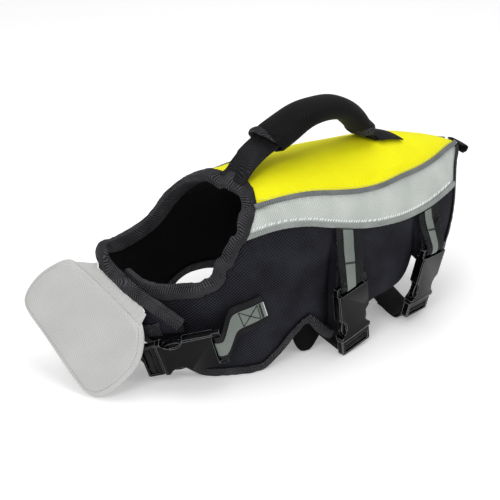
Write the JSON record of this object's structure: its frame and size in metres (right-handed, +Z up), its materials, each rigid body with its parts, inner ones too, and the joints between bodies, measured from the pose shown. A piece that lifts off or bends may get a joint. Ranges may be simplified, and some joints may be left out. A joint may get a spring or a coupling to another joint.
{
  "type": "dog life jacket",
  "caption": "Worn dog life jacket: padded yellow and grey back shell, black sides, chest arms, chin float, top grab handle and fastened straps with side-release buckles.",
  "frame": {"origin": "middle of the bounding box at its base, on the surface that the jacket stands on", "axes": "+Z up, +Y to the rear of the dog (its head is at -Y), +X to the dog's left"},
  "size_m": [0.2058, 0.5536, 0.2767],
  "materials": {
    "yellow_cloth": "matt coated polyester weave",
    "grey_cloth": "matt silver grey polyester",
    "black_cloth": "matt oxford weave",
    "ribbed_tape": "ribbed grosgrain tape",
    "dark_piping": "smooth cord cover",
    "light_piping": "smooth cord cover",
    "webbing": "woven polypropylene",
    "reflective": "retroreflective tape, satin",
    "plastic": "satin acetal",
    "neoprene": "matt knit on foam rubber",
    "float_cloth": "matt light grey polyester"
  },
  "bodies": {
    "root": {"back_panel": "yellow_cloth", "band_left": "grey_cloth", "band_right": "grey_cloth", "chest_left": "black_cloth", "chest_right": "black_cloth", "side_left": "black_cloth", "side_right": "black_cloth", "rear_left": "black_cloth", "rear_right": "black_cloth", "inner_flap": "black_cloth", "neck_binding": "ribbed_tape", "hem_binding_left": "ribbed_tape", "hem_binding_right": "ribbed_tape", "rear_binding": "ribbed_tape", "upper_piping_left": "dark_piping", "upper_piping_right": "dark_piping", "lower_piping_left": "light_piping", "lower_piping_right": "light_piping", "middle_strap": "webbing", "rear_strap": "webbing", "middle_belly_strap": "webbing", "rear_belly_strap": "webbing", "chest_strap_left": "webbing", "chest_strap_right": "webbing", "handle_strap": "webbing", "handle_patch": "webbing", "tail_loop": "webbing", "middle_strap_stripe": "reflective", "rear_strap_stripe": "reflective", "middle_belly_strap_stripe": "reflective", "rear_belly_strap_stripe": "reflective", "chest_strap_left_stripe": "reflective", "front_buckle_female": "plastic", "front_buckle_male": "plastic", "middle_buckle_female": "plastic", "middle_buckle_male": "plastic", "rear_buckle_female": "plastic", "rear_buckle_male": "plastic", "handle_sleeve": "neoprene", "chin_float": "float_cloth", "float_strip": "float_cloth"}
  },
  "joints": []
}
